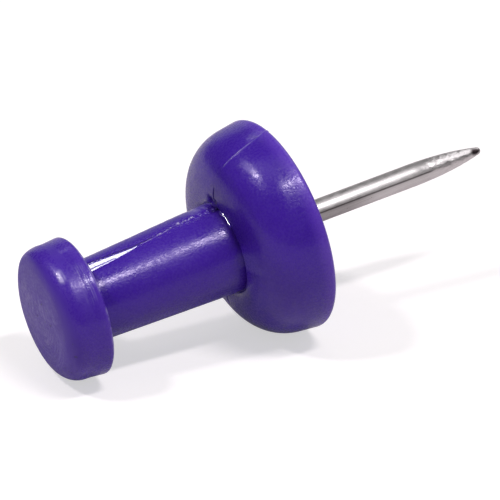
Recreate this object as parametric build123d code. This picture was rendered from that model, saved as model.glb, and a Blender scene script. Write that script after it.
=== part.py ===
from build123d import *
from math import radians, tan
import os

# A push pin: a moulded spool-shaped handle and the steel needle that is moulded into it.
# Sizes are in millimetres. The pin lies along X, as it does in an upright board, with Z up.
# X = 0 is the flat underside of the collar, which seats on the board. The needle points along +X, and
# heights are measured from the seat towards the head, along -X.

# Collar
collar_diameter = 10.0  # across the rim, just above its rounded edge
collar_edge_radius = 0.25  # rounding between the underside and the rim
rim_height = 1.1  # where the rim runs into the dome
rim_draft_angle = 5.0  # how far the rim leans in, in degrees
collar_height = 3.2  # crest of the dome above the seat
dome_fullness = 0.56  # 0.55 makes the dome a quarter ellipse, less makes it flatter

# Neck
neck_base_diameter = 4.24  # where it stands in the collar
neck_top_diameter = 3.7  # where it meets the head
grip_length = 7.15  # from the collar's crest to the head's underside
foot_valley_width = 0.3  # from the neck to the crest of the dome
foot_valley_depth = 0.1  # how far the dome rolls down to the neck

# Head
head_overhang = 1.3  # how far the head stands out beyond the neck, on each side
head_thickness = 1.95  # height of the head's edge
head_rear_radius = 0.22  # rounding of the edge that faces the collar
head_front_radius = 0.96  # rounding of the edge that the thumb pushes on
head_crown = 0.13  # how far the end face swells in its middle

# Needle
wire_diameter = 1.08
exposed_length = 10.7  # from the seat to the tip
buried_length = 8.0  # from the seat to the end inside the handle
point_length = 2.55  # ground point, tip included
point_bulge = 0.045  # how far the ground point swells beyond a straight cone
tip_radius = 0.1  # the tip is slightly blunt
buried_end_chamfer = 0.12

# Rolled V grooves that lock the needle in the plastic, from the seat up
groove_count = 3
groove_pitch = 2.4
groove_width = 0.6
groove_depth = 0.12


def turned(outline):
    """The solid swept out by a half section, drawn as radius and height, about the pin's axis."""
    return revolve(outline.rotate(Axis.Z, 90), Axis.X)


def round_corner(outline, corner, radius):
    """The half section with the corner at that point rounded."""
    return fillet(outline.vertices().sort_by_distance(corner)[0], radius)


def handle_outline():
    """Half section of the handle, before the needle's cavity is taken out of it."""
    collar_radius = collar_diameter / 2
    rim_lean = tan(radians(rim_draft_angle))
    edge_centre = (collar_radius - collar_edge_radius, collar_edge_radius)
    rim_edge = CenterArc(edge_centre, collar_edge_radius, -90, 90 + rim_draft_angle)
    rim_base = rim_edge @ 1
    rim_radius = rim_base.X - rim_lean * (rim_height - rim_base.Y)
    neck_radius = neck_base_diameter / 2
    crest_radius = neck_radius + foot_valley_width
    neck_top_radius = neck_top_diameter / 2
    head_radius = neck_top_radius + head_overhang
    head_underside = collar_height + grip_length
    head_edge = head_underside + head_thickness

    seat_centre = (0, 0)
    rim_top = (rim_radius, rim_height)
    crest = (crest_radius, collar_height)
    foot = (neck_radius, collar_height - foot_valley_depth)
    throat = (neck_top_radius, head_underside)
    rear_corner = (head_radius, head_underside)
    front_corner = (head_radius, head_edge)
    crown = (0, head_edge + head_crown)

    dome_rise = dome_fullness * (collar_height - rim_height)
    dome_reach = dome_fullness * (rim_radius - crest_radius)
    dome = Bezier(
        rim_top,
        (rim_radius - rim_lean * dome_rise, rim_height + dome_rise),
        (crest_radius + dome_reach, collar_height),
        crest,
    )
    outline = make_face(
        [
            Line(seat_centre, rim_edge @ 0),
            rim_edge,
            Line(rim_base, rim_top),
            dome,
            TangentArc(crest, foot, tangent=(-1, 0)),
            Polyline(foot, throat, rear_corner, front_corner),
            TangentArc(crown, front_corner, tangent=(1, 0)),
            Line(crown, seat_centre),
        ]
    )
    outline = round_corner(outline, rear_corner, head_rear_radius)
    return round_corner(outline, front_corner, head_front_radius)


def needle_outline():
    """Half section of the needle, from its buried end down to its tip."""
    radius = wire_diameter / 2
    shank_end = (radius, point_length - exposed_length)
    nose = (tip_radius, tip_radius - exposed_length)
    tip = (0, -exposed_length)
    end_centre = (0, buried_length)

    corners = [
        end_centre,
        (radius - buried_end_chamfer, buried_length),
        (radius, buried_length - buried_end_chamfer),
    ]
    # The lowest groove starts at the seat, where the wire comes out of the plastic.
    for number in reversed(range(groove_count)):
        groove_start = number * groove_pitch
        corners.append((radius, groove_start + groove_width))
        corners.append((radius - groove_depth, groove_start + groove_width / 2))
        corners.append((radius, groove_start))
    corners.append(shank_end)

    return make_face(
        [
            Polyline(corners),
            SagittaArc(shank_end, nose, point_bulge),
            RadiusArc(nose, tip, tip_radius),
            Line(tip, end_centre),
        ]
    )


def make_needle():
    """The steel needle."""
    return turned(needle_outline())


def make_handle(needle):
    """The moulded handle, with the plastic filling the needle's grip grooves."""
    return turned(handle_outline()) - needle


needle = make_needle()
handle = make_handle(needle)

os.makedirs("parts", exist_ok=True)
export_step(handle, "parts/handle.step")
export_step(needle, "parts/needle.step")
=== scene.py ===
from functools import partialmethod
from math import asin, atan2, cos, exp, hypot, pi, radians, sin, tan

import bmesh
import bpy
from bpy.props import FloatProperty, FloatVectorProperty, PointerProperty
from mathutils import Euler, Matrix, Vector, noise
from mathutils.geometry import interpolate_bezier


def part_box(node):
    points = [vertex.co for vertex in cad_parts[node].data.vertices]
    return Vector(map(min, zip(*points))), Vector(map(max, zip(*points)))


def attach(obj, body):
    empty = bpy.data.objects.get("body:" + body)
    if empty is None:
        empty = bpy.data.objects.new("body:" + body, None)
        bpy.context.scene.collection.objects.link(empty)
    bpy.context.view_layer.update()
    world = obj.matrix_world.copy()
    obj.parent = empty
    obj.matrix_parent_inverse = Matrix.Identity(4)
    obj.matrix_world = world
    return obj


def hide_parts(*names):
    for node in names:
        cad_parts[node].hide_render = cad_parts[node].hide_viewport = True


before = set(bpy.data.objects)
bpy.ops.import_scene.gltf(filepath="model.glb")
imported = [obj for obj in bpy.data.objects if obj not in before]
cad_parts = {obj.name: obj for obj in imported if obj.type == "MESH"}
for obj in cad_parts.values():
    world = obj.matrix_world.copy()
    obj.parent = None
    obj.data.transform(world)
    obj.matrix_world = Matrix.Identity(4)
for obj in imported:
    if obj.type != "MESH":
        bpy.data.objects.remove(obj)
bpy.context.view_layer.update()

bl_info = {
    "name": "Push Pin",
    "version": (1, 0, 0),
    "blender": (4, 5, 0),
    "location": "3D View > Sidebar > Push Pin",
    "description": "Builds a push pin with a moulded handle and a steel needle, in a small studio",
    "category": "Mesh",
}

# The pin lies along X with its needle towards +X, and X = 0 is the collar's flat underside.
# Angles about the pin are counted from +Y towards +Z.
MM = 0.001
FULL_TURN = 360
HANDLE_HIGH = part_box("handle")[1]
NEEDLE_LOW, NEEDLE_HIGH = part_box("needle")

# The turn about the axis, in sectors with closer steps at the seams: (end in degrees, steps)
HANDLE_SECTORS = ((72, 36), (88, 24), (100, 48), (116, 32), (266, 75), (282, 32), (FULL_TURN, 39))
NEEDLE_SECTORS = ((FULL_TURN, 120),)
MERGE_DISTANCE = 0.00002 * MM


def setting(kind, **options):
    """Makes values of one kind that the user can set, each with its name, description and default."""

    def make(name, description, default):
        return kind(name=name, description=description, default=default, **options)

    return make


length = setting(FloatProperty, unit="LENGTH", precision=5)
angle = setting(FloatProperty, subtype="ANGLE")
factor = setting(FloatProperty, min=0, max=1, subtype="FACTOR")
level = setting(FloatProperty, min=0)
colour = setting(FloatVectorProperty, min=0, max=1, subtype="COLOR", size=3)
offset = setting(FloatVectorProperty, subtype="TRANSLATION", unit="LENGTH", size=3)
tilt = setting(FloatVectorProperty, subtype="EULER", size=3)


class PushPinHandle(bpy.types.PropertyGroup):
    """Sizes of the moulded handle."""

    collar_radius: length("Collar radius", "Half of the collar's width", HANDLE_HIGH.z)
    collar_edge_radius: length("Collar edge", "Rounding between the underside and the rim", 0.25 * MM)
    rim_height: length("Rim height", "Where the rim runs into the dome", 1.1 * MM)
    rim_draft: angle("Rim draft", "How far the rim leans in", radians(7.5))
    rim_flash: length("Rim flash", "How far the rim's edge stands out beyond the drawing", 0.045 * MM)
    collar_height: length("Collar height", "Crest of the dome above the underside", 3.2 * MM)
    dome_fullness: factor("Dome fullness", "How full the dome is; 0.55 is a quarter ellipse", 0.56)
    crest_width: length("Crest width", "From the neck to the crest of the dome", 0.3 * MM)
    crest_depth: length("Crest depth", "How far the dome rolls down to the neck", 0.15 * MM)
    neck_base_radius: length("Neck radius at the collar", "Half of the neck's width there", 2.12 * MM)
    neck_top_radius: length("Neck radius at the head", "Half of the neck's width there", 1.85 * MM)
    grip_length: length("Grip length", "From the dome's crest to the head's underside", 7.15 * MM)
    throat_fillet: length("Throat fillet", "Hollow between the neck and the head", 0.16 * MM)
    head_radius: length("Head radius", "Half of the head's width", 3.15 * MM)
    head_thickness: length("Head thickness", "Height of the head's edge", 1.95 * MM)
    head_lip: length("Head lip", "How far the edge that faces the collar flares out", 0.085 * MM)
    head_rear_radius: length("Head rear edge", "Rounding of the edge that faces the collar", 0.14 * MM)
    head_front_radius: length("Head front edge", "Rounding of the edge that the thumb pushes", 0.89 * MM)
    head_fullness: length("Head fullness", "How much fuller the front edge is at its far top", 0.06 * MM)
    head_crown: length("Head crown", "How far the end face swells in its middle", 0.13 * MM)
    collar_offset: offset("Collar offset", "How far the collar is off-centre", (0, 0.109 * MM, 0.06 * MM))
    spool_lean: offset("Spool lean", "How the spool leans, for each metre towards +X", (0, 0.0033, -0.0124))
    head_tilt: tilt("Head tilt", "How far the head is askew on the neck", (0, radians(1.9), radians(-1.2)))


class PushPinSeam(bpy.types.PropertyGroup):
    """The mould seam along the handle, and what was trimmed there."""

    place: angle("Place", "Where the upper seam runs, about the pin", radians(94.5))
    wander: angle("Wander", "How far the seam wanders to each side", radians(3.3))
    wave: length("Wave", "Length of one wave of the wandering seam", 5.5 * MM)
    peak: length("Peak", "Where along the pin a wave has its peak", -7.2 * MM)
    height: length("Height", "How far the flash stands out", 0.022 * MM)
    width: length("Width", "Half of the flash's width", 0.035 * MM)
    wedge_place: angle("Wedge place", "Where the glossy trimmed flat faces, about the pin", radians(94.8))
    wedge_start: length("Wedge start", "Where along the pin the glossy flat starts", -7.0 * MM)
    wedge_slope: factor("Wedge slope", "How fast the glossy flat sinks in towards the head", 0.0195)
    step: length("Step", "How far the mould's far half stands out at the seam, at the collar", 0.05 * MM)


class PushPinNeedle(bpy.types.PropertyGroup):
    """Sizes of the steel needle."""

    wire_radius: length("Wire radius", "Half of the wire's width", NEEDLE_HIGH.z)
    exposed_length: length("Exposed length", "From the collar's underside to the tip", NEEDLE_HIGH.x)
    buried_length: length("Buried length", "From the underside to the end in the plastic", -NEEDLE_LOW.x)
    point_length: length("Point length", "Length of the ground point, with its slow start", 3.84 * MM)
    point_reach: length("Point reach", "How slowly the point starts to narrow", 1.4 * MM)
    point_waist: length("Point waist", "Radius that the point narrows to before its nose", 0.412 * MM)
    tip_radius: length("Tip radius", "Rounding of the blunt tip", 0.184 * MM)
    groove_depth: length("Groove depth", "Depth of the rolled grip grooves", 0.12 * MM)
    groove_width: length("Groove width", "Width of the rolled grip grooves", 0.6 * MM)
    groove_pitch: length("Groove pitch", "From one grip groove to the next", 2.4 * MM)
    lean: offset("Lean", "How the needle leans, for each metre towards +X", (0, 0.0048, -0.0352))


class PushPinFinish(bpy.types.PropertyGroup):
    """Colours and gloss of the two pieces."""

    violet: colour("Violet", "Colour of the moulded plastic", (0.055, 0.0135, 0.355))
    deep_violet: colour("Deep violet", "Colour of the plastic's denser flow lines", (0.048, 0.0115, 0.325))
    # Painted sheen: a paler violet that lightens the collar's rim by its underside, the head's lip and, a
    # little, the whole head
    edge_violet: colour("Edge violet", "Colour of the plastic at its thin edges", (0.115, 0.045, 0.49))
    # Also paints the highlights along the lip, the drag marks and the head's front edge, and the sheen by
    # the neck's foot
    pale_violet: colour("Pale violet", "Colour of torn and worn plastic", (0.42, 0.36, 0.68))
    # Also paints shade in the corner at the neck's foot, in the seam's groove and in the nicks
    pit_violet: colour("Pit violet", "Colour of the plastic in pits and grooves", (0.015, 0.005, 0.10))
    gloss_tint: colour("Gloss tint", "Colour of the plastic's gloss", (0.92, 0.80, 1.0))
    plastic_roughness: factor("Plastic roughness", "How dull the moulded plastic is", 0.32)
    polished_roughness: factor("Polished roughness", "How dull the plastic's smoothest grains are", 0.15)
    trimmed_roughness: factor("Trimmed roughness", "How dull the trimmed and dragged places are", 0.07)
    steel: colour("Steel", "Colour of the drawn wire", (0.74, 0.70, 0.71))
    dark_steel: colour("Dark steel", "Colour in the wire's drawing lines", (0.56, 0.52, 0.53))
    # Also paints shade on the wire's lower side near the collar and a dark reflection line along it
    burnt_steel: colour("Burnt steel", "Colour of specks and of the spot near the tip", (0.06, 0.045, 0.05))
    steel_roughness: factor("Steel roughness", "How dull the drawn wire is", 0.345)
    steel_brushing: factor("Steel brushing", "How much the wire's gloss is spread across its lines", 0.85)


class PushPinStage(bpy.types.PropertyGroup):
    """The camera, the lamps and the floor."""

    floor_colour: colour("Floor", "Colour of the floor", (0.60, 0.555, 0.565))
    floor_lift: factor("Floor lift", "What is added to the floor that the camera sees", 0.56)
    floor_shine: factor("Floor shine", "How much of that lift the pin's gloss mirrors", 0.22)
    surround_light: factor("Surroundings", "Light from all round", 0.25)
    front_lamp: factor("Front lamp", "Light from the long softbox in front, on a facing surface", 0.47)
    left_lamp: factor("Left lamp", "Light from the softbox on the left, on a facing surface", 0.3)
    rear_lamp: factor("Rear lamp", "Light from the wide softbox behind, on a facing surface", 0.06)
    spark_lamp: factor("Spark lamp", "Light from the small lamp behind, on a facing surface", 0.013)
    screen_level: factor("Screen", "How bright the screen round the pin is in its gloss", 0.05)
    card_level: level("Card", "How bright the white card on the right is in the pin's gloss", 1.6)
    backdrop_level: factor("Backdrop", "How bright the backdrop behind is in the pin's gloss", 0.5)
    azimuth: angle("Azimuth", "Where the camera stands round the pin, from -Y", radians(-24.39))
    elevation: angle("Elevation", "How high the camera stands", radians(30.33))
    roll: angle("Roll", "How far the camera is turned about its view", radians(9.5))
    distance: length("Distance", "From the camera to the point that it looks at", 164.13 * MM)
    aim: offset("Aim", "The point that the camera looks at", (-1.68 * MM, 0.25 * MM, -0.79 * MM))


def ease(low, high, value):
    """0 below low, 1 above high, and a smooth rise between them."""
    share = min(1.0, max(0.0, (value - low) / (high - low)))
    return share * share * (3 - 2 * share)


def bell(distance, width):
    """1 at no distance, falling off smoothly over the width."""
    return exp(-((distance / width) ** 2))


def patch(low, high, fade, value):
    """1 between low and high, fading out beyond them."""
    return ease(low - fade, low, value) * (1 - ease(high, high + fade, value))


def span(*degrees):
    """Angles about the pin, given in degrees: from, to and, for a patch, its fade."""
    return [radians(each) for each in degrees]


def turn_between(one, other):
    """The angle from one direction to the other, between -pi and pi."""
    return (one - other + pi) % (2 * pi) - pi


def polar(place):
    """Distance along the pin, radius, and angle about it."""
    return place.x, hypot(place.y, place.z), atan2(place.z, place.y)


class SectionPen:
    """Draws half of a turned section as a wire, with X along the pin and Y as the radius."""

    def __init__(self, bm, x, radius):
        self.bm = bm
        self.tip = bm.verts.new((x, radius, 0))

    def line(self, x, radius, pieces=1):
        """A straight run, divided into equal pieces."""
        start = self.tip.co.xy
        for number in range(pieces):
            self.tip = bmesh.ops.extrude_vert_indiv(self.bm, verts=[self.tip])["verts"][0]
            self.tip.co.xy = start.lerp((x, radius), (number + 1) / pieces)

    def arc(self, centre, turn, steps):
        """An arc about a centre, through an angle."""
        drawn = bmesh.ops.spin(
            self.bm, geom=[self.tip], cent=(*centre, 0), axis=(0, 0, 1), angle=turn, steps=steps
        )
        self.tip = drawn["geom_last"][0]

    def rounded(self, corner, onward, radius, steps, pieces=1):
        """A straight run up to a corner, which is rounded towards the point that comes after it."""
        corner = Vector(corner)
        back = (self.tip.co.xy - corner).normalized()
        on = (Vector(onward) - corner).normalized()
        half = back.angle(on) / 2
        start = corner + back * radius / tan(half)
        centre = corner + (back + on).normalized() * radius / sin(half)
        self.line(*start, pieces)
        side = 1 if back.cross(on) < 0 else -1
        self.arc(centre, side * (pi - 2 * half), steps)

    def curve(self, reach_out, reach_in, end, steps):
        """A smooth curve with two handles."""
        points = interpolate_bezier(self.tip.co.xy, reach_out, reach_in, end, steps + 1)
        for point in points[1:]:
            self.line(*point)


def spin_section(bm, sectors):
    """Turns the section about the pin's axis, sector by sector, and closes it."""
    ring = list(bm.verts) + list(bm.edges)
    turned = 0
    for end, steps in sectors:
        turn = end - turned
        spun = bmesh.ops.spin(
            bm,
            geom=ring,
            cent=(0, 0, 0),
            axis=(1, 0, 0),
            angle=radians(turn),
            steps=steps,
            use_merge=turn == FULL_TURN,
        )
        ring = spun["geom_last"]
        turned = end
    bmesh.ops.remove_doubles(bm, verts=bm.verts, dist=MERGE_DISTANCE)
    bmesh.ops.recalc_face_normals(bm, faces=bm.faces)


def add_object(name, data):
    """An object of the scene, made of a mesh, a lamp or a camera."""
    made = bpy.data.objects.new(name, data)
    bpy.context.scene.collection.objects.link(made)
    return made


def add_mesh(bm, name, material):
    """An object of the scene with that mesh and finish."""
    mesh = bpy.data.meshes.new(name)
    bm.to_mesh(mesh)
    bm.free()
    mesh.materials.append(material)
    return add_object(name, mesh)


def finish_piece(bm, name, material, node):
    """Makes the mesh a smooth piece that stands for the CAD node and rides on the pin."""
    piece = add_mesh(bm, name, material)
    piece.data.shade_smooth()
    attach(piece, "root")
    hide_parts(node)


# The handle

BORE_CLEARANCE = 0.005 * MM
BORE_LIP = 0.05 * MM
# How far round the corner at the foot of the neck the section is finely divided
FOOT_REACH = 0.42 * MM
# Share of the head's thickness over which its lip flares out, and the rounding where that starts
LIP_SHARE = 0.42
WAIST_RADIUS = 3 * MM
SLANT = Vector((-1, 1)).normalized()

# The mould's far half stands out at the seam: its rise along the pin, and its fade away from the seam
STEP_RISE = (-9.6 * MM, -4.5 * MM)
STEP_FADE = span(25, 80)
STEP_RAGGEDNESS = 0.35 * MM
# The seam's flash is torn on the neck, towards the collar, and shows again on the collar
TORN_RISE = (-7.2 * MM, -5.8 * MM)
COLLAR_SEAM_RISE = (-2.75 * MM, -2.45 * MM)
SEAM_JITTER = radians(2)
SEAM_REACH = 9
NECK_ROOM = 0.1 * MM
# A dark tick marks the seam on the dome's crest, between these radii
CREST_TICK = (2.62 * MM, 3.5 * MM)
CREST_TICK_BAND = (2.72 * MM, 3.0 * MM, 0.3 * MM)
CREST_TICK_DEPTH = 0.05 * MM

# Glossy drag marks near the rear edge of the head's rim: distances from the head's underside
DRAG_MARKS = (0.30 * MM, 0.39 * MM, 0.50 * MM, 0.60 * MM, 0.73 * MM)
DRAG_WIDTH = 0.028 * MM
DRAG_DEPTH = 0.012 * MM
DRAG_WANDER = 0.03 * MM
# The drag marks are real grooves; their pale streaks are a painted highlight
DRAG_HIGHLIGHT = 0.5
DRAG_GLOSS = 0.32
DRAG_GLOSS_BAND = (0.25 * MM, 0.5 * MM, 0.15 * MM)
# Where they are about the pin, and the weaker ones on its far side
DRAG_PATCH = span(120, 145, 11)
FAR_DRAG_PATCH = span(-70, 20, 15)
FAR_DRAG_SHARE = 0.45
# A painted highlight on the head's front edge: distance from the head's underside, and where it is about
# the pin
FRONT_HIGHLIGHT_PLACE = 1.38 * MM
FRONT_HIGHLIGHT_WIDTH = 0.14 * MM
FRONT_HIGHLIGHT_PATCH = span(117, 122, 7)
FRONT_HIGHLIGHT_STREAK = 0.06 * MM
FRONT_HIGHLIGHT_STRENGTH = 1.05
# Painted highlight along the edge of the head's lip
LIP_HIGHLIGHT_WIDTH = 0.07 * MM

# Flash left in the corner at the foot of the neck
FLASH_PATCH = span(35, 80, 8)
FLASH_SIZE = 0.09 * MM
FLASH_REACH = 0.36 * MM
# A glossy flake bridges that corner
FLAKE_PATCH = span(102, 127, 3)
FLAKE_FACING = (-0.436, -0.385, 0.813)
FLAKE_THICKNESS = 0.05 * MM
FLAKE_REACH = 0.13 * MM
# Where flash was torn off there: (angle in degrees, radius, depth, reach)
FOOT_NICKS = (
    (85, 2.32 * MM, 0.20 * MM, 0.22 * MM),
    (93, 2.22 * MM, 0.14 * MM, 0.12 * MM),
    (97, 2.55 * MM, 0.06 * MM, 0.09 * MM),
)
NICK_ROOM = 0.3 * MM
# Round the foot: a painted sheen on the far side, painted shade in the near corner, and a lighter patch
# beside that
FAR_SHEEN_PATCH = span(50, 86, 5)
FAR_SHEEN_RISE = (-4.6 * MM, -3.8 * MM)
FAR_SHEEN_EDGE = (0.1 * MM, 0.5 * MM)
FAR_SHEEN_RAGGEDNESS = 0.2 * MM
CORNER_PATCH = span(96, 152, 14)
CORNER_HEIGHT = 1.8 * MM
CORNER_WIDTH = 1.6 * MM
PALE_PATCH = span(158, 190, 9)
PALE_PATCH_WIDTH = 0.35 * MM
FOOT_MARK_DEPTH = 0.6 * MM

# A scratch on the glossy flat: (place along the pin, angle in degrees) of its ends
SCRATCH_ENDS = ((-9.9 * MM, 102.8), (-8.6 * MM, 102.6))
SCRATCH_WIDTH = 0.014 * MM
SCRATCH_DEPTH = 0.008 * MM
SCRATCH_ROOM = 2.2 * MM
# Turning marks on the head's end face
TURNING_HEIGHT = 0.002 * MM
TURNING_WAVE = 0.05 * MM
TURNING_BREAK = 0.4 * MM
TURNING_START = (0.15 * MM, 0.5 * MM)
TURNING_END = (2.0 * MM, 2.25 * MM)
FACE_ROOM = 0.03 * MM
# Moulded plastic is a little uneven all over, apart from its underside and its bore
UNEVEN_HEIGHT = 0.004 * MM
UNEVEN_SIZE = 1.4 * MM
UNDERSIDE_ROOM = 0.02 * MM
BORE_ROOM_RADIUS = 0.6 * MM
BORE_ROOM_DEPTH = 9 * MM

# The front edge of the head is fuller here
FULL_PATCH = span(50, 75, 35)
FULL_WIDTH = 0.4 * MM
FULL_INSET = 0.3
# How softly the collar, the head and the bore run into the spool
COLLAR_BLEND = 0.6 * MM
CREST_BLEND = 0.5 * MM
THROAT_BLEND = 0.4 * MM
BORE_BLEND = 0.02 * MM
BORE_END_ROOM = 0.1 * MM


def foot_place(sizes):
    """Where the neck stands in the collar, along the pin."""
    return sizes.crest_depth - sizes.collar_height


def throat_place(sizes):
    """Where the head's underside is, along the pin."""
    return -sizes.collar_height - sizes.grip_length


def face_place(sizes):
    """Where the edge of the head's end face is, along the pin."""
    return throat_place(sizes) - sizes.head_thickness


def draw_handle(bm, sizes, needle):
    """Half section of the handle, from the end of the needle's bore round to the middle of the head."""
    bore = needle.wire_radius + BORE_CLEARANCE
    pen = SectionPen(bm, -needle.buried_length, 0)
    pen.line(-needle.buried_length, bore)
    pen.rounded((0, bore), (0, sizes.collar_radius), BORE_LIP, steps=4, pieces=4)
    rim_edge = sizes.collar_radius + sizes.rim_flash
    edge_centre = (-sizes.collar_edge_radius, rim_edge - sizes.collar_edge_radius)
    pen.line(0, edge_centre[1], pieces=8)
    pen.arc(edge_centre, pi / 2 + sizes.rim_draft, steps=10)

    lean = tan(sizes.rim_draft)
    rim_base = pen.tip.co.copy()
    rim_radius = rim_base.y - lean * (sizes.rim_height + rim_base.x)
    pen.line(-sizes.rim_height, rim_radius, pieces=10)
    crest_radius = sizes.neck_base_radius + sizes.crest_width
    rise = sizes.dome_fullness * (sizes.collar_height - sizes.rim_height)
    reach = sizes.dome_fullness * (rim_radius - crest_radius)
    pen.curve(
        (-sizes.rim_height - rise, rim_radius - lean * rise),
        (-sizes.collar_height, crest_radius + reach),
        (-sizes.collar_height, crest_radius),
        steps=46,
    )
    roll = (sizes.crest_width**2 + sizes.crest_depth**2) / (2 * sizes.crest_depth)
    pen.arc((roll - sizes.collar_height, crest_radius), asin(sizes.crest_width / roll), steps=8)

    head_underside = throat_place(sizes)
    head_edge = face_place(sizes)
    throat = (head_underside, sizes.neck_top_radius)
    rear_corner = (head_underside, sizes.head_radius + sizes.head_lip)
    waist = (head_underside - LIP_SHARE * sizes.head_thickness, sizes.head_radius)
    front_corner = (head_edge, sizes.head_radius)
    pen.line(pen.tip.co.x - FOOT_REACH, sizes.neck_base_radius, pieces=12)
    pen.rounded(throat, rear_corner, sizes.throat_fillet, steps=8, pieces=108)
    pen.rounded(rear_corner, waist, sizes.head_rear_radius, steps=10, pieces=6)
    pen.rounded(waist, front_corner, WAIST_RADIUS, steps=6, pieces=14)
    pen.rounded(front_corner, (head_edge, 0), sizes.head_front_radius, steps=22, pieces=6)
    pen.line(head_edge, 0, pieces=42)


def seam_angle(seam, x):
    """Where the upper seam runs at that place along the pin."""
    return seam.place + seam.wander * cos(2 * pi * (x - seam.peak) / seam.wave)


def push_at_slant(vert, radius, distance):
    """Moves a point away from the axis and towards the head, by as much each way."""
    move = SLANT * distance
    vert.co.x += move.x
    vert.co.yz *= 1 + move.y / radius


def shape_neck(bm, sizes, seam, gloss):
    """Cuts the glossy flat below the seam, and sets the mould's far half out from its near half."""
    for vert in bm.verts:
        x, radius, place = polar(vert.co)
        on_neck = throat_place(sizes) < x < foot_place(sizes) + MERGE_DISTANCE
        on_wall = sizes.neck_top_radius / 2 < radius < sizes.neck_base_radius + MERGE_DISTANCE
        if not (on_neck and on_wall):
            continue
        across = turn_between(place, seam_angle(seam, x))
        scale = 1.0
        if across >= 0:
            depth = seam.wedge_slope * max(0.0, seam.wedge_start - x)
            facing = cos(turn_between(place, seam.wedge_place))
            if facing > 0.5:
                scale = min(1.0, (1 - depth / radius) / facing)
            if depth > 0 and scale < 1:
                vert[gloss] = 1.0
        else:
            share = ease(*STEP_RISE, x) * (1 - ease(*STEP_FADE, -across))
            ragged = 0.8 + 0.5 * noise.noise((x / STEP_RAGGEDNESS, 3.1, 0))
            scale = 1 + seam.step * share * ragged / radius
        vert.co.yz *= scale


def flash_foot(bm, sizes, gloss):
    """Leaves flash in the corner at the foot of the neck, and a glossy flake that bridges it."""
    foot = foot_place(sizes)
    flake = Vector(FLAKE_FACING).normalized()
    flake_top = flake.x * foot + hypot(flake.y, flake.z) * sizes.neck_base_radius + FLAKE_THICKNESS
    for vert in bm.verts:
        x, radius, place = polar(vert.co)
        apart = abs(foot - x) + abs(radius - sizes.neck_base_radius)
        if apart > FOOT_REACH:
            continue
        share = patch(*FLASH_PATCH, place)
        share *= max(0.0, 1 - apart / FLASH_REACH) ** 2
        push_at_slant(vert, radius, FLASH_SIZE * share)
        share = patch(*FLAKE_PATCH, place)
        sunk = flake_top - flake.dot(vert.co)
        if sunk > 0 and apart < FLAKE_REACH:
            vert.co += flake * sunk * share
            vert[gloss] = max(vert[gloss], share)


def torn_shreds(seam, torn, x, beside):
    """How much of a wisp there is beside the torn seam, and of the feathers."""
    aside = (3 + 2 * noise.noise((x / (0.3 * MM), 5, 0))) * seam.width
    wisp = bell(beside + aside, 0.6 * seam.width)
    wisp *= torn * max(0.0, 2.4 * noise.noise((x / (0.11 * MM), 3, 0)))
    stroke = noise.noise((x / (0.1 * MM) + beside / (0.07 * MM), beside / (0.2 * MM), 3))
    feathers = torn * bell(beside + 2 * seam.width, 4 * seam.width) * max(0.0, 3 * stroke - 0.6)
    return wisp, feathers


def seam_marks(sizes, seam, x, radius, place):
    """How far the seam's flash stands out of the surface, and its marks: torn pale above 0; dark below,
    with painted shade in its groove.
    """
    if x < throat_place(sizes):
        return 0.0, 0.0
    on_neck = x < -sizes.collar_height and radius < sizes.neck_base_radius + NECK_ROOM
    on_crest = CREST_TICK[0] < radius < CREST_TICK[1] and x < -sizes.rim_height
    torn = ease(*TORN_RISE, x) if on_neck else 0.0
    height = 0.0
    wear_and_painted_light = 0.0
    for number, side in enumerate((0, pi)):
        jitter = torn * SEAM_JITTER * noise.noise((x / (0.2 * MM), 0.5, number))
        beside = radius * turn_between(place, seam_angle(seam, x) + side + jitter)
        if abs(beside) > SEAM_REACH * seam.width:
            continue
        rough = noise.noise((x / (0.14 * MM), radius / (0.3 * MM), 7 + number))
        ridge = bell(beside, seam.width)
        if on_neck:
            burrs = torn * (0.75 + 3.0 * max(0.0, rough))
            groove = bell(beside + 2 * seam.width, seam.width)
            wisp, feathers = torn_shreds(seam, torn, x, beside)
            height += seam.height * (burrs * ridge + wisp + 0.5 * feathers - groove)
            wear_and_painted_light += torn * ridge * (0.2 + max(0.0, 3.2 * rough)) + wisp + 0.8 * feathers
            # Painted shade in the groove beside the flash
            wear_and_painted_light -= (0.9 - 0.6 * torn) * groove
        else:
            burrs = (1.3 + 0.9 * rough) * ease(*COLLAR_SEAM_RISE, x)
            height += seam.height * burrs * ridge
            wear_and_painted_light += 0.34 * burrs * ridge
        if on_crest:
            tick = patch(*CREST_TICK_BAND, radius)
            height -= CREST_TICK_DEPTH * tick * ridge
            wear_and_painted_light -= 0.8 * tick * ridge
    return height, wear_and_painted_light


def foot_colour_marks(sizes, x, radius, place):
    """Colour marks round the foot of the neck: a painted sheen on the far side and a lighter patch above 0,
    painted shade in the near corner below.
    """
    crest = -sizes.collar_height
    if not crest - CORNER_HEIGHT < x < crest + FOOT_MARK_DEPTH:
        return 0.0
    outward = radius - sizes.neck_base_radius
    broken = 0.26 + 0.3 * noise.noise((x / FAR_SHEEN_RAGGEDNESS, 5 * place, 0))
    far_sheen = patch(*FAR_SHEEN_PATCH, place) * (1 - ease(*FAR_SHEEN_EDGE, outward))
    far_sheen *= ease(*FAR_SHEEN_RISE, x) * broken
    pale_patch = 0.23 * patch(*PALE_PATCH, place) * bell(x - crest, PALE_PATCH_WIDTH)
    # Painted shade, darker in the near corner between the neck and the collar
    shade = 0.28 * ease(crest - CORNER_HEIGHT, crest, x) + 0.27 * ease(crest - 0.1 * MM, crest, x)
    shade *= patch(*CORNER_PATCH, place) * bell(outward, CORNER_WIDTH)
    return far_sheen + pale_patch - shade


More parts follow.
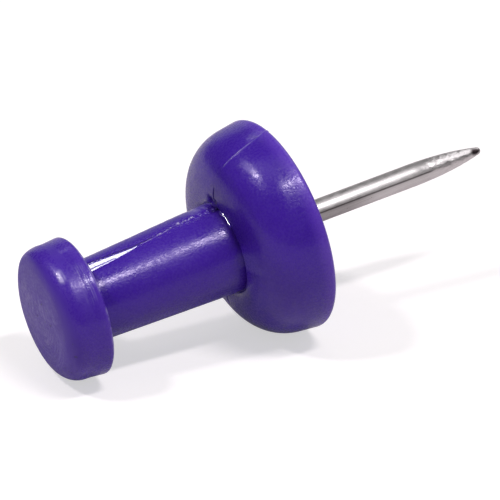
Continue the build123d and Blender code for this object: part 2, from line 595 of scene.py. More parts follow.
def lip_highlight(sizes, x, radius, place):
    """How strong the painted highlight along the edge of the head's lip is."""
    below = throat_place(sizes) - x
    inward = sizes.head_radius + sizes.head_lip - radius
    away = hypot(below - LIP_HIGHLIGHT_WIDTH, inward - LIP_HIGHLIGHT_WIDTH)
    broken = 0.36 + 0.7 * noise.noise((6 * place, 0.3, 0)) + 0.6 * noise.noise((25 * place, 1.3, 0))
    return max(0.0, broken) * bell(away, LIP_HIGHLIGHT_WIDTH)


def foot_nicks(sizes, x, radius, place):
    """How deep the torn places at the foot of the neck are, and how much painted shade darkens them."""
    if x > -sizes.rim_height or x < -sizes.collar_height - NICK_ROOM:
        return 0.0, 0.0
    deepest = 0.0
    most_shade = 0.0
    for degrees, from_axis, depth, reach in FOOT_NICKS:
        beside = radius * turn_between(place, radians(degrees))
        away = hypot(beside, radius - from_axis)
        ragged = 1 + 0.35 * noise.noise((10 * beside / reach, 10 * radius / reach, degrees))
        share = bell(away, reach * ragged)
        deepest = max(deepest, depth * share)
        most_shade = max(most_shade, share)
    return deepest, most_shade


def scratch_depth(x, radius, place):
    """How deep the scratch on the glossy flat is."""
    (start, start_angle), (end, end_angle) = SCRATCH_ENDS
    if not start < x < end or radius > SCRATCH_ROOM:
        return 0.0
    share = (x - start) / (end - start)
    beside = radius * turn_between(place, radians(start_angle + share * (end_angle - start_angle)))
    return SCRATCH_DEPTH * (1 - 0.5 * share) * bell(beside, SCRATCH_WIDTH)


def drag_marks(sizes, gloss, vert, x, radius, place):
    """How deep the drag marks are in the head's rim, which is made glossier there, and how much painted
    highlight they get.
    """
    below = throat_place(sizes) - x
    if radius < 0.9 * sizes.head_radius or not 0 < below < sizes.head_thickness:
        return 0.0, 0.0
    share = patch(*DRAG_PATCH, place)
    share = max(share, FAR_DRAG_SHARE * patch(*FAR_DRAG_PATCH, place))
    wander = DRAG_WANDER * noise.noise((2.5 * place, 0.7, 0))
    band = patch(*DRAG_GLOSS_BAND, below)
    vert[gloss] = max(vert[gloss], DRAG_GLOSS * share * band)
    marked = 0.0
    for number, mark in enumerate(DRAG_MARKS):
        broken = max(0.0, 0.6 + 0.9 * noise.noise((3 * place, number * 2.3, 0)))
        marked += share * broken * bell(below - mark - wander, DRAG_WIDTH)
    return DRAG_DEPTH * marked, DRAG_HIGHLIGHT * marked


def front_highlight(sizes, x, place):
    """How strong the painted highlight on the head's front edge is, with its streaks along the edge."""
    below = throat_place(sizes) - x
    share = patch(*FRONT_HIGHLIGHT_PATCH, place)
    share *= bell(below - FRONT_HIGHLIGHT_PLACE, FRONT_HIGHLIGHT_WIDTH)
    streaks = 0.7 + 0.9 * noise.noise((4 * place, below / FRONT_HIGHLIGHT_STREAK, 4))
    return FRONT_HIGHLIGHT_STRENGTH * share * max(0.0, streaks)


def turning_marks(sizes, x, radius, place):
    """Height of the turning marks on the head's end face."""
    if x > face_place(sizes) + FACE_ROOM:
        return 0.0
    broken = 0.5 + noise.noise((1.5 * cos(place), 1.5 * sin(place), radius / TURNING_BREAK))
    fade = ease(*TURNING_START, radius) * (1 - ease(*TURNING_END, radius))
    return TURNING_HEIGHT * sin(radius / TURNING_WAVE) * broken * fade


def mark_surface(bm, sizes, seam, gloss, wear_and_painted_light):
    """Raises the seam's flash out of the surface, sinks the marks and nicks into it, and stores the colour
    marks with their painted highlights, sheen and shade.
    """
    bm.normal_update()
    moves = []
    for vert in bm.verts:
        x, radius, place = polar(vert.co)
        in_bore = radius < BORE_ROOM_RADIUS and x > -BORE_ROOM_DEPTH
        if x > -UNDERSIDE_ROOM or in_bore:
            continue
        height, worn = seam_marks(sizes, seam, x, radius, place)
        depth, nick_shade = foot_nicks(sizes, x, radius, place)
        # worn holds torn marks together with painted highlights, sheen and shade; the nicks get painted
        # shade
        worn += lip_highlight(sizes, x, radius, place) + foot_colour_marks(sizes, x, radius, place) - nick_shade
        drag_depth, painted_highlight = drag_marks(sizes, gloss, vert, x, radius, place)
        painted_highlight += front_highlight(sizes, x, place)
        vert[wear_and_painted_light] = worn * (1 - vert[gloss]) + painted_highlight
        height += turning_marks(sizes, x, radius, place) - depth - drag_depth
        height -= scratch_depth(x, radius, place)
        height += UNEVEN_HEIGHT * noise.noise(vert.co / UNEVEN_SIZE) * (1 - vert[gloss])
        moves.append((vert, vert.normal * height))
    for vert, move in moves:
        vert.co += move


def crown_head(bm, sizes):
    """Swells the head's end face in its middle, and its front edge on the far upper side."""
    face = face_place(sizes)
    inset = FULL_INSET * sizes.head_front_radius
    edge = Vector((face + inset, sizes.head_radius - inset))
    for vert in bm.verts:
        x, radius, place = polar(vert.co)
        if x > face + sizes.head_front_radius:
            continue
        vert.co.x -= sizes.head_crown * max(0.0, 1 - (radius / sizes.head_radius) ** 2)
        if radius > 0.5 * sizes.head_radius:
            away = (Vector((x, radius)) - edge).length
            share = patch(*FULL_PATCH, place) * bell(away, FULL_WIDTH)
            push_at_slant(vert, radius, sizes.head_fullness * share)


def set_as_moulded(bm, sizes, needle):
    """Shifts the collar, tilts the head and leans the spool and the bore, as they came out of the mould."""
    throat = throat_place(sizes)
    crest = -sizes.collar_height
    middle = Vector((throat - sizes.head_thickness / 2, 0, 0))
    askew = Euler(sizes.head_tilt).to_matrix()
    for vert in bm.verts:
        x, radius, _ = polar(vert.co)
        collar = ease(sizes.neck_base_radius, sizes.neck_base_radius + COLLAR_BLEND, radius)
        collar *= ease(crest - CREST_BLEND, crest, x)
        bore = 1 - ease(needle.wire_radius + BORE_BLEND, 2 * needle.wire_radius, radius)
        if x < -needle.buried_length - BORE_END_ROOM:
            bore = 0
        head = 1 - ease(throat, throat + THROAT_BLEND, x)
        vert.co = vert.co.lerp(middle + askew @ (vert.co - middle), head)
        lean = Vector(sizes.spool_lean).lerp(needle.lean, bore) * x
        vert.co += lean.lerp(sizes.collar_offset, collar)


class PUSHPIN_OT_make_handle(bpy.types.Operator):
    """Model the moulded handle: collar, neck and head in one piece"""

    bl_idname = "push_pin.make_handle"
    bl_label = "Make Handle"
    bl_options = {"REGISTER", "UNDO"}

    def execute(self, context):
        sizes = context.scene.push_pin_handle
        seam = context.scene.push_pin_seam
        needle = context.scene.push_pin_needle
        bm = bmesh.new()
        draw_handle(bm, sizes, needle)
        spin_section(bm, HANDLE_SECTORS)
        bm.verts.layers.float.new("gloss")
        bm.verts.layers.float.new("wear_and_painted_light")
        gloss = bm.verts.layers.float["gloss"]
        wear_and_painted_light = bm.verts.layers.float["wear_and_painted_light"]
        shape_neck(bm, sizes, seam, gloss)
        flash_foot(bm, sizes, gloss)
        crown_head(bm, sizes)
        mark_surface(bm, sizes, seam, gloss, wear_and_painted_light)
        set_as_moulded(bm, sizes, needle)
        finish_piece(bm, "moulded_handle", violet_plastic(context), "handle")
        return {"FINISHED"}


# The needle

GROOVE_COUNT = 3
END_CHAMFER = 0.12 * MM
# How far along the point its waist is
WAIST_PLACE = 0.715
# The point is dented by grinding and tumbling
FACET_COUNT = 7
POINT_DENT = 0.009
DENT_SIZE = 0.3 * MM
SMALL_DENT_SIZE = 0.13 * MM
GROUND_START = (-0.2 * MM, 0.5 * MM)


def draw_needle(bm, sizes):
    """Half section of the needle, from its buried end to its tip."""
    pen = SectionPen(bm, -sizes.buried_length, 0)
    pen.line(-sizes.buried_length, sizes.wire_radius - END_CHAMFER)
    pen.line(END_CHAMFER - sizes.buried_length, sizes.wire_radius)
    for number in reversed(range(GROOVE_COUNT)):
        start = -number * sizes.groove_pitch
        pen.line(start - sizes.groove_width, sizes.wire_radius)
        pen.line(start - sizes.groove_width / 2, sizes.wire_radius - sizes.groove_depth)
        pen.line(start, sizes.wire_radius)
    pen.line(sizes.exposed_length - sizes.point_length, sizes.wire_radius, pieces=50)
    nose = Vector((sizes.exposed_length - sizes.tip_radius, sizes.tip_radius))
    start = pen.tip.co.xy
    waist = Vector((start.x + (nose.x - start.x) * WAIST_PLACE, sizes.point_waist))
    pen.curve(start + Vector((sizes.point_reach, 0)), waist, nose, steps=80)
    pen.arc((nose.x, 0), -pi / 2, steps=8)


def grind_point(bm, sizes):
    """Dents the point a little, as grinding and tumbling leave it."""
    shoulder = sizes.exposed_length - sizes.point_length
    for vert in bm.verts:
        x, radius, place = polar(vert.co)
        ground = ease(*GROUND_START, x - shoulder)
        if ground == 0 or radius == 0:
            continue
        dents = noise.noise(vert.co / DENT_SIZE) + 0.5 * noise.noise(vert.co / SMALL_DENT_SIZE)
        for number in range(FACET_COUNT):
            uneven = noise.noise((number * 1.7, 0.4, 0))
            facing = turn_between(place, 2 * pi * (number + 0.4 * uneven) / FACET_COUNT)
            dents -= uneven * bell(facing, pi / FACET_COUNT)
        vert.co.yz *= 1 + POINT_DENT * ground * dents


class PUSHPIN_OT_make_needle(bpy.types.Operator):
    """Model the steel needle with its ground point"""

    bl_idname = "push_pin.make_needle"
    bl_label = "Make Needle"
    bl_options = {"REGISTER", "UNDO"}

    def execute(self, context):
        sizes = context.scene.push_pin_needle
        bm = bmesh.new()
        draw_needle(bm, sizes)
        spin_section(bm, NEEDLE_SECTORS)
        grind_point(bm, sizes)
        for vert in bm.verts:
            vert.co += Vector(sizes.lean) * vert.co.x
        finish_piece(bm, "steel_needle", drawn_steel(context), "needle")
        return {"FINISHED"}


# The finishes

# Sizes of the marks in the plastic's patterns
FLOW_SIZE = 1.6 * MM
SMUDGE_SIZE = 0.9 * MM
FINE_SIZE = 0.11 * MM
PEEL_SIZE = 0.45 * MM
DRAWN_SIZE = 0.035 * MM
TURNED_SIZE = 0.04 * MM
RING_SIZE = 0.09 * MM
LUMP_SIZE = 0.26 * MM
FINE_SCRATCH_SIZE = 0.05 * MM
PIT_SIZE = 0.16 * MM
POCK_SIZE = 0.1 * MM
# The end face has turned rings in its lower part, and lumps above them, within this radius
FACE_DEPTH = 0.3 * MM
FACE_MARK_FADE = (2.4 * MM, 1.9 * MM)
RING_FADE = (1.2 * MM, -1.0 * MM)
LUMP_FADE = (2.6 * MM, 0.2 * MM)
# Dulled round the end face, handled on the head's rim, and gripped along the neck
DULLED_START = 0.55 * MM
DULLED_END = 0.15 * MM
HANDLED_PLACE = 0.55 * MM
HANDLED_RISE = 0.15 * MM
HANDLED_FADE = (0.75 * MM, 0.5 * MM)
GRIP_START = (-9.3 * MM, -7.8 * MM)
GRIP_END = (-4.0 * MM, -5.4 * MM)
# Painted sheen, a paler violet at the collar's rim next to its underside and at the head's lip
SHEEN_RIM = (-0.9 * MM, -0.1 * MM)
SHEEN_LIP = 0.7 * MM
NECK_EDGE = 0.15 * MM
HEAD_EDGE = (0.1 * MM, -0.2 * MM)
PLASTIC_IOR = 1.5

# Sizes of the marks in the steel's patterns
LINE_SIZE = 0.03 * MM
TARNISH_SIZE = 0.35 * MM
HAMMERED_SIZE = 0.2 * MM
SPECK_SIZE = 0.09 * MM
# Where the ground point starts to look tumbled, as a share of its length from the tip
TUMBLED_PLACE = 0.75
TUMBLED_FADE = 0.3 * MM
# The burnt spot near the tip
SPOT_PLACE = (10.36 * MM, -0.12 * MM, -0.27 * MM)
SPOT_REACH = (0.17 * MM, 0.31 * MM)
SPOT_STRETCH = (0.6, 1, 1)
SPOT_RAGGEDNESS = 0.15 * MM
# A painted reflection of the dark horizon, a line along the wire, and painted shade on the wire's lower
# side near the collar
HORIZON_LINE = radians(73)
HORIZON_LINE_WIDTH = radians(7)
SHADED_SIDE = span(45, 80)
SHADED_END = (5.2 * MM, 3.0 * MM)


class Finish:
    """A node tree, with the sums, patterns and mixes that the finishes are made of."""

    def __init__(self, tree):
        self.tree = tree
        tree.nodes.clear()

    def add(self, kind, inputs=None, **options):
        """Adds a node with its options, sets or links its inputs, and gives its outputs."""
        made = self.tree.nodes.new("ShaderNode" + kind)
        for name, value in options.items():
            setattr(made, name, value)
        for name, value in (inputs or {}).items():
            if isinstance(value, bpy.types.NodeSocket):
                self.tree.links.new(value, made.inputs[name])
            else:
                made.inputs[name].default_value = value
        return made.outputs

    def sums(self, operation, first, *others):
        """The result of a Math node, or of a chain of them when there are more values."""
        for other in others:
            first = self.add("Math", {0: first, 1: other}, operation=operation)[0]
        return first

    times = partialmethod(sums, "MULTIPLY")
    plus = partialmethod(sums, "ADD")
    less = partialmethod(sums, "SUBTRACT")
    most = partialmethod(sums, "MAXIMUM")

    def vector(self, operation, first, second):
        """The result of a Vector Math node with two vectors."""
        return self.add("VectorMath", {0: first, 1: second}, operation=operation)["Vector"]

    def scaled(self, vector, scale):
        """A vector times a number."""
        return self.add("VectorMath", {0: vector, "Scale": scale}, operation="SCALE")["Vector"]

    def reach(self, vector):
        """The length of a vector."""
        return self.add("VectorMath", {0: vector}, operation="LENGTH")["Value"]

    def parts(self, vector):
        """The X, Y and Z of a vector."""
        return self.add("SeparateXYZ", {0: vector})

    def joined(self, x, y, z):
        """A vector from its X, Y and Z."""
        return self.add("CombineXYZ", {"X": x, "Y": y, "Z": z})[0]

    def place(self):
        """Where a point is on the object."""
        return self.add("TexCoord")["Object"]

    def polar(self, place):
        """Distance along the pin, radius and direction from its axis."""
        parts = self.parts(place)
        across = self.joined(0.0, parts["Y"], parts["Z"])
        direction = self.add("VectorMath", {0: across}, operation="NORMALIZE")["Vector"]
        return parts["X"], self.reach(across), direction

    def attribute(self, name):
        """A value that the mesh carries."""
        return self.add("Attribute", attribute_name=name)["Fac"]

    def ramp(self, value, low, high, start=0.0, end=1.0):
        """A value mapped smoothly from one range to another."""
        inputs = {"Value": value, "From Min": low, "From Max": high, "To Min": start, "To Max": end}
        return self.add("MapRange", inputs, interpolation_type="SMOOTHSTEP")["Result"]

    def grain(self, vector, size, detail=2.0, stretch=(1, 1, 1), turn=(0, 0, 0)):
        """Noise with marks of that size, in metres, stretched along some axes."""
        scale = [1 / (size * each) for each in stretch]
        placed = self.add("Mapping", {"Vector": vector, "Rotation": turn, "Scale": scale})[0]
        return self.add("TexNoise", {"Vector": placed, "Scale": 1.0, "Detail": detail})["Fac"]

    def relief(self, layers, strength=1.0):
        """The bumped normal of several layers, each with its height in metres."""
        total = 0.0
        for layer, height in layers.items():
            total = self.add("Math", {0: layer, 1: height, 2: total}, operation="MULTIPLY_ADD")[0]
        return self.add("Bump", {"Strength": strength, "Distance": 1.0, "Height": total})[0]

    def mix(self, share, first, second):
        """A mix of two colours, which are sockets or plain colours."""
        ends = [each if isinstance(each, bpy.types.NodeSocket) else (*each, 1) for each in (first, second)]
        return self.add("Mix", {0: share, 6: ends[0], 7: ends[1]}, data_type="RGBA")[2]

    def show(self, shader):
        """Makes the shader the surface of the material."""
        self.add("OutputMaterial", {"Surface": shader})


def new_finish(name):
    """A material, and the finish that is still to be made in it."""
    material = bpy.data.materials.new(name)
    material.use_nodes = True
    return material, Finish(material.node_tree)


def end_face(plastic, sizes, place, along, radius):
    """Where the head's end face is, and its parts with turned rings and with lumps."""
    edge = face_place(sizes)
    face = plastic.ramp(along, edge + FACE_DEPTH, edge)
    height = plastic.parts(place)["Z"]
    marked = plastic.times(face, plastic.ramp(radius, *FACE_MARK_FADE))
    ring_part = plastic.times(marked, plastic.ramp(height, *RING_FADE))
    lump_part = plastic.times(marked, plastic.ramp(height, *LUMP_FADE))
    return face, ring_part, plastic.less(lump_part, ring_part)


def violet_plastic(context):
    """Satin violet plastic with flow lines, fine grain, scratches and glossier trimmed places, and the
    painted highlights, sheen and shade that the mesh carries.
    """
    looks = context.scene.push_pin_finish
    sizes = context.scene.push_pin_handle
    throat = throat_place(sizes)
    edge = face_place(sizes)
    material, plastic = new_finish("violet_plastic")
    ramp = plastic.ramp
    times = plastic.times
    grain = plastic.grain
    place = plastic.place()
    along, radius, direction = plastic.polar(place)
    around = plastic.parts(plastic.scaled(direction, sizes.neck_base_radius))
    unrolled = plastic.joined(along, around["Y"], around["Z"])
    ringed = plastic.joined(radius, around["Y"], around["Z"])
    gloss = plastic.attribute("gloss")
    wear_and_painted_light = plastic.attribute("wear_and_painted_light")

    neck = ramp(radius, sizes.neck_base_radius + NECK_EDGE, sizes.neck_base_radius)
    head = ramp(along, *[throat + each for each in HEAD_EDGE])
    face, ring_part, lump_part = end_face(plastic, sizes, place, along, radius)
    plain = plastic.less(1.0, times(face, 0.8))
    gripped = times(ramp(along, *GRIP_START), neck, ramp(along, *GRIP_END))
    dulled = ramp(along, edge + DULLED_START, edge + DULLED_END, 0.0, 0.2)
    rim = throat - HANDLED_PLACE
    handled = ramp(along, rim, rim - HANDLED_RISE, 0.0, 0.1)
    handled = times(handled, ramp(along, *[rim - each for each in HANDLED_FADE]))
    lip = times(ramp(along, throat - SHEEN_LIP, throat), head)
    lip = times(lip, ramp(radius, 0.8 * sizes.head_radius, sizes.head_radius, 0.0, 0.55))
    # Painted sheen: the collar's rim by its underside and the head's lip lighter, and the whole head a
    # little lighter
    sheened = plastic.most(ramp(along, *SHEEN_RIM), lip, times(head, 0.16))

    flow = grain(place, FLOW_SIZE, 3.0, (2.5, 1, 1))
    smudge = grain(place, SMUDGE_SIZE, 4.0)
    fine = grain(place, FINE_SIZE)
    drawn = times(grain(unrolled, DRAWN_SIZE, 3.0, (20, 1, 1)), neck)
    turned = times(grain(unrolled, TURNED_SIZE, 2.0, (1, 50, 50)), head)
    rings = grain(ringed, RING_SIZE, 1.5, (1, 24, 24))
    lumps = grain(place, LUMP_SIZE)
    one_way = grain(place, FINE_SCRATCH_SIZE, 1.0, (9, 1, 1), (0, 0.5, 0.4))
    other_way = grain(place, FINE_SCRATCH_SIZE, 1.0, (1, 8, 1), (0.3, 0, 0.5))
    scratches = plastic.most(ramp(one_way, 0.66, 0.76), ramp(other_way, 0.66, 0.76))
    pits = times(ramp(grain(place, PIT_SIZE, 1.0), 0.7, 0.78), face)
    pocks = times(ramp(grain(place, POCK_SIZE, 1.0), 0.56, 0.68), plain)

    ring_marks = times(ramp(rings, 0.42, 0.7, 0.0, 0.17), ring_part)
    lump_marks = times(ramp(lumps, 0.34, 0.68, 0.0, 0.18), lump_part)
    # Paler turning rings and lumps, plus a painted sheen that lightens the whole end face
    face_marks_and_sheen = plastic.plus(ring_marks, lump_marks, times(face, 0.05))
    ring_furrows = times(ramp(rings, 0.47, 0.3, 0.0, 0.18), ring_part)
    lump_furrows = times(ramp(lumps, 0.43, 0.28, 0.0, 0.24), lump_part)
    # pale carries torn marks, painted highlights and painted sheen; dark carries pits, furrows and painted
    # shade
    pale = plastic.plus(ramp(wear_and_painted_light, 0.0, 1.0), face_marks_and_sheen)
    dark = plastic.most(times(wear_and_painted_light, -1.0), plastic.plus(ring_furrows, lump_furrows), pits)
    base = plastic.mix(ramp(flow, 0.3, 0.7), looks.deep_violet, looks.violet)
    base = plastic.mix(sheened, base, looks.edge_violet)
    base = plastic.mix(dark, base, looks.pit_violet)
    base = plastic.mix(pale, base, looks.pale_violet)

    heights = {
        times(fine, plain): 0.0042 * MM,
        grain(place, PEEL_SIZE): 0.008 * MM,
        drawn: 0.003 * MM,
        turned: 0.003 * MM,
        times(rings, ring_part): 0.012 * MM,
        times(lumps, lump_part): 0.042 * MM,
        times(scratches, plain): -0.002 * MM,
        pits: -0.03 * MM,
        pocks: -0.0018 * MM,
    }
    bumped = plastic.relief(heights, ramp(gloss, 0.0, 1.0, 1.0, 0.12))
    tint = plastic.mix(gloss, looks.gloss_tint, (1, 1, 1))
    worn = times(plastic.plus(gripped, scratches), 0.06)
    worn = plastic.plus(worn, ramp(smudge, 0.3, 0.7, -0.04, 0.05), dulled, handled)
    shaders = []
    for roughness in (looks.plastic_roughness, looks.polished_roughness):
        rough = plastic.plus(roughness, worn)
        rough = plastic.add("Mix", {0: gloss, 2: rough, 3: looks.trimmed_roughness})[0]
        inputs = {
            "Base Color": base,
            "Roughness": rough,
            "IOR": PLASTIC_IOR,
            "Specular Tint": tint,
            "Normal": bumped,
        }
        shaders.append(plastic.add("BsdfPrincipled", inputs)[0])
    grains = plastic.less(ramp(fine, 0.4, 0.62, 0.15, 0.85), times(gripped, 0.1))
    plastic.show(plastic.add("MixShader", {0: grains, 1: shaders[0], 2: shaders[1]})[0])
    return material


def drawn_steel(context):
    """Bright drawn wire, brushed along its length, with a tumbled point, a dark spot near its tip, painted
    shade near the collar and a painted dark reflection line.
    """
    looks = context.scene.push_pin_finish
    sizes = context.scene.push_pin_needle
    material, steel = new_finish("drawn_steel")
    ramp = steel.ramp
    times = steel.times
    place = steel.place()
    along = steel.parts(place)["X"]
    across = steel.vector("CROSS_PRODUCT", steel.add("NewGeometry")["Normal"], (1, *sizes.lean[1:]))
    upright = steel.vector("SUBTRACT", place, steel.scaled(tuple(sizes.lean), along))
    direction = steel.parts(upright)
    around = steel.sums("ARCTAN2", times(direction["Y"], -1.0), direction["Z"])
    shoulder = sizes.exposed_length - TUMBLED_PLACE * sizes.point_length
    point = ramp(along, shoulder - TUMBLED_FADE, shoulder + TUMBLED_FADE)
    lines = steel.grain(place, LINE_SIZE, 3.0, (90, 1, 1))
    tarnish = steel.grain(place, TARNISH_SIZE, 4.0)
    dents = times(steel.grain(place, HAMMERED_SIZE, 2.0, (1.6, 1, 1)), point)

    # Painted shade on the wire's lower side near the collar
    shaded = times(ramp(along, *SHADED_END), ramp(around, *SHADED_SIDE, 0.0, 0.45))
    beside = steel.add("Math", {0: steel.less(around, HORIZON_LINE)}, operation="ABSOLUTE")[0]
    # Painted reflection: a dark line along the shank
    horizon_line = times(ramp(beside, HORIZON_LINE_WIDTH, 0.0), ramp(point, 1.0, 0.0, 0.0, 0.85))
    specks = ramp(steel.grain(place, SPECK_SIZE, 1.0), 0.76, 0.82)
    from_spot = steel.vector("SUBTRACT", place, SPOT_PLACE)
    apart = steel.reach(steel.vector("MULTIPLY", from_spot, SPOT_STRETCH))
    ragged = steel.plus(times(tarnish, SPOT_RAGGEDNESS), apart)
    spot = ramp(ragged, *reversed(SPOT_REACH))
    base = steel.mix(ramp(lines, 0.28, 0.5), looks.dark_steel, looks.steel)
    for share in (shaded, horizon_line, specks, spot):
        base = steel.mix(share, base, looks.burnt_steel)

    inputs = {
        "Base Color": base,
        "Metallic": 1.0,
        "Roughness": steel.plus(looks.steel_roughness, ramp(tarnish, 0.35, 0.7, -0.02, 0.03)),
        "Anisotropic": ramp(point, 0.0, 1.0, looks.steel_brushing, 0.4 * looks.steel_brushing),
        "Tangent": across,
        "Normal": steel.relief({lines: 0.0004 * MM, dents: 0.042 * MM}),
    }
    steel.show(steel.add("BsdfPrincipled", inputs)[0])
    return material


# The stage

# The side of the pin where each softbox hangs, and its size along the pin and across it
SOFTBOXES = {
    "front": ((0.28, -0.41, 0.87), (140 * MM, 34 * MM)),
    "left": ((-0.40, 0.06, 0.91), (32 * MM, 46 * MM)),
    "rear": ((-0.40, 0.30, 0.86), (80 * MM, 100 * MM)),
}
SPARK_LAMP_SIZE = (18 * MM, 18 * MM)
LAMP_DISTANCE = 350 * MM
FLOOR_WIDTH = 1200 * MM
# The screen's heights and its dip are in degrees, and other places on it are shares of its radius
SCREEN_RADIUS = 560 * MM
SCREEN_HEIGHT = 78
SCREEN_DIP = 12
BACKDROP_HEIGHT = (25, 12)
BACKDROP_DEPTH = (0.2, 0.5)
BACKDROP_SIDE = (-0.12, 0.12)
CARD_SIDE = (0.54, 0.64)
CARD_HEIGHT = (15, 30)
SENSOR_WIDTH = 36
FOCAL_LENGTH = 259.1
VIEW_START = 10 * MM
VIEW_END = 5000 * MM


def stage_object(bm, name, material):
    """An object of the stage, which isn't part of the pin."""
    made = add_mesh(bm, name, material)
    return made


def floor_finish(stage):
    """A pale matt floor that looks white to the camera where it is lit, and is clear from below."""
    material, floor = new_finish("pale_floor")
    rays = floor.add("LightPath")
    mirrored = floor.times(rays["Is Glossy Ray"], stage.floor_shine)
    seen = floor.most(rays["Is Camera Ray"], rays["Is Transmission Ray"], mirrored)
    matt = floor.add("BsdfDiffuse", {"Color": (*stage.floor_colour, 1)})[0]
    lift = floor.add("Emission", {"Strength": floor.times(seen, stage.floor_lift)})[0]
    top = floor.add("AddShader", {0: matt, 1: lift})[0]
    clear = floor.add("BsdfTransparent")[0]
    below = floor.add("NewGeometry")["Backfacing"]
    floor.show(floor.add("MixShader", {0: below, 1: top, 2: clear})[0])
    return material


def lay_floor(stage, handle):
    """Lays the floor under the pin, which rests on the rims of its collar and its head."""
    head_rim = -face_place(handle) - handle.head_front_radius
    slope = atan2(handle.collar_radius - handle.head_radius, head_rim - handle.collar_edge_radius)
    lay = Matrix.Rotation(slope, 4, "Y")
    up = lay @ Vector((0, 0, 1))
    lowest = min(up.dot(vert.co) for vert in bpy.data.objects["moulded_handle"].data.vertices)
    bm = bmesh.new()
    bmesh.ops.create_grid(bm, size=FLOOR_WIDTH / 2)
    bmesh.ops.transform(bm, matrix=Matrix.Translation(up * lowest) @ lay, verts=bm.verts)
    stage_object(bm, "studio_floor", floor_finish(stage))


def screen_finish(stage):
    """A dim glow, with a pale backdrop behind the pin and a white card on its right."""
    material, screen = new_finish("dim_screen")
    parts = screen.parts(screen.place())

    def aside(axis, shares):
        return screen.ramp(parts[axis], *[SCREEN_RADIUS * each for each in shares])

    def raised(degrees):
        return aside("Z", [sin(radians(each)) for each in degrees])

    backdrop = screen.times(aside("Y", BACKDROP_DEPTH), raised(BACKDROP_HEIGHT), aside("X", BACKDROP_SIDE))
    card = screen.times(aside("X", CARD_SIDE), raised(CARD_HEIGHT))
    dim = screen.ramp(backdrop, 0.0, 1.0, stage.screen_level, stage.backdrop_level)
    strength = screen.most(dim, screen.times(card, stage.card_level))
    screen.show(screen.add("Emission", {"Strength": strength})[0])
    return material


def stand_screen(stage):
    """Stands a round screen about the pin, which only the pin's gloss sees."""
    bm = bmesh.new()
    foot = bm.verts.new((SCREEN_RADIUS, 0, 0))
    dipped = Matrix.Rotation(radians(SCREEN_DIP), 3, "Y")
    bmesh.ops.rotate(bm, verts=[foot], cent=(0, 0, 0), matrix=dipped)
    rise = radians(SCREEN_DIP + SCREEN_HEIGHT)
    bmesh.ops.spin(bm, geom=[foot], cent=(0, 0, 0), axis=(0, -1, 0), angle=rise, steps=24)
    profile = list(bm.verts) + list(bm.edges)
    bmesh.ops.spin(
        bm, geom=profile, cent=(0, 0, 0), axis=(0, 0, 1), angle=2 * pi, steps=48, use_merge=True
    )
    bmesh.ops.remove_doubles(bm, verts=bm.verts, dist=MERGE_DISTANCE)
    screen = stage_object(bm, "dim_screen", screen_finish(stage))
    screen.visible_camera = False
    screen.visible_diffuse = False
    screen.visible_shadow = False
    screen.visible_transmission = False


def hang_lamp(name, place, size, brightness):
    """A lamp that faces the pin, its width along it. At 1 it lights a facing white surface to white."""
    lamp = bpy.data.lights.new(name, "AREA")
    lamp.shape = "ELLIPSE"
    lamp.size, lamp.size_y = size
    lamp.energy = brightness * pi * pi * place.length_squared
    away = place.normalized()
    across = away.cross((1, 0, 0)).normalized()
    facing = Matrix((across.cross(away), across, away)).transposed()
    add_object(name, lamp).matrix_world = Matrix.Translation(place) @ facing.to_4x4()


def spark_place(handle, seam):
    """Where a lamp has to hang for the glossy trimmed flat to mirror it into the camera."""
    taper = (handle.neck_base_radius - handle.neck_top_radius) / handle.grip_length
    facing = Vector((-taper - seam.wedge_slope, cos(seam.wedge_place), sin(seam.wedge_place)))
    facing.x -= facing.dot(handle.spool_lean)
    facing.normalize()
    middle = (seam.wedge_start + throat_place(handle)) / 2
    flat = Vector((middle, 0, 0)) + facing * handle.neck_top_radius
    view = (bpy.context.scene.camera.location - flat).normalized()
    return flat - view.reflect(facing) * LAMP_DISTANCE


def light_surroundings(stage):
    """Even light from all round, which the camera and reflections see as plain white."""
    world = bpy.data.worlds.new("white_studio")
    bpy.context.scene.world = world
    world.use_nodes = True
    air = Finish(world.node_tree)
    rays = air.add("LightPath")
    direct = air.most(rays["Is Camera Ray"], rays["Is Glossy Ray"], rays["Is Transmission Ray"])
    strength = air.ramp(direct, 0.0, 1.0, stage.surround_light, 1.0)
    white = air.add("Background", {"Color": (1, 1, 1, 1), "Strength": strength})[0]
    air.add("OutputWorld", {"Surface": white})


def set_camera(stage):
    """The camera at the photograph's viewing angle."""
    lens = bpy.data.cameras.new("studio_camera")
    lens.sensor_width = SENSOR_WIDTH
    lens.lens = FOCAL_LENGTH
    lens.clip_start = VIEW_START
    lens.clip_end = VIEW_END
    camera = add_object("studio_camera", lens)
    turned = Matrix.Rotation(stage.azimuth, 4, "Z")
    raised = Matrix.Rotation(pi / 2 - stage.elevation, 4, "X")
    rolled = Matrix.Rotation(-stage.roll, 4, "Z")
    backed = Matrix.Translation((0, 0, stage.distance))
    camera.matrix_world = Matrix.Translation(stage.aim) @ turned @ raised @ rolled @ backed
    bpy.context.scene.camera = camera


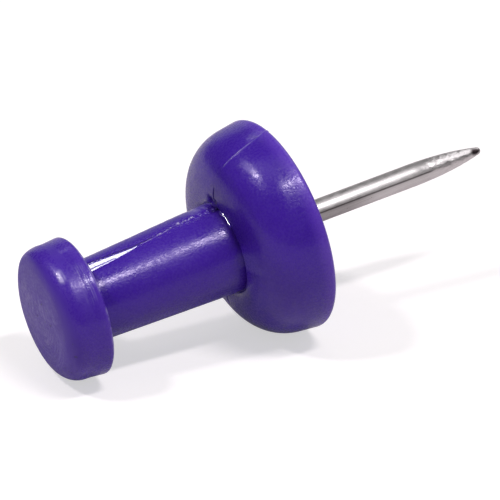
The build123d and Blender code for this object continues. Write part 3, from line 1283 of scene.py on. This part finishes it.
class PUSHPIN_OT_set_stage(bpy.types.Operator):
    """Set up the floor, the lamps and the camera"""

    bl_idname = "push_pin.set_stage"
    bl_label = "Set Stage"
    bl_options = {"REGISTER", "UNDO"}

    def execute(self, context):
        stage = context.scene.push_pin_stage
        handle = context.scene.push_pin_handle
        context.scene.view_settings.view_transform = "Standard"
        set_camera(stage)
        lay_floor(stage, handle)
        stand_screen(stage)
        for name, (side, size) in SOFTBOXES.items():
            place = Vector(side).normalized() * LAMP_DISTANCE
            hang_lamp(name + "_softbox", place, size, getattr(stage, name + "_lamp"))
        spark = spark_place(handle, context.scene.push_pin_seam)
        hang_lamp("spark_lamp", spark, SPARK_LAMP_SIZE, stage.spark_lamp)
        light_surroundings(stage)
        return {"FINISHED"}


# The add-on

GROUPS = {
    "push_pin_handle": PushPinHandle,
    "push_pin_seam": PushPinSeam,
    "push_pin_needle": PushPinNeedle,
    "push_pin_finish": PushPinFinish,
    "push_pin_stage": PushPinStage,
}
OPERATORS = (PUSHPIN_OT_make_handle, PUSHPIN_OT_make_needle, PUSHPIN_OT_set_stage)


class PUSHPIN_PT_sidebar(bpy.types.Panel):
    """Sizes, finishes and stage of the push pin"""

    bl_idname = "PUSHPIN_PT_sidebar"
    bl_label = "Push Pin"
    bl_space_type = "VIEW_3D"
    bl_region_type = "UI"
    bl_category = "Push Pin"

    def draw(self, context):
        for operator in OPERATORS:
            self.layout.operator(operator.bl_idname)
        for attribute, group in GROUPS.items():
            box = self.layout.box()
            box.label(text=group.__doc__)
            for name in group.__annotations__:
                box.prop(getattr(context.scene, attribute), name)


CLASSES = (*GROUPS.values(), *OPERATORS, PUSHPIN_PT_sidebar)


def register():
    for each in CLASSES:
        bpy.utils.register_class(each)
    for attribute, group in GROUPS.items():
        setattr(bpy.types.Scene, attribute, PointerProperty(type=group))


def unregister():
    for attribute in GROUPS:
        delattr(bpy.types.Scene, attribute)
    for each in reversed(CLASSES):
        bpy.utils.unregister_class(each)


def main():
    """Builds the pin and its stage."""
    register()
    bpy.ops.push_pin.make_handle()
    bpy.ops.push_pin.make_needle()
    bpy.ops.push_pin.set_stage()


if __name__ == "__main__":
    main()
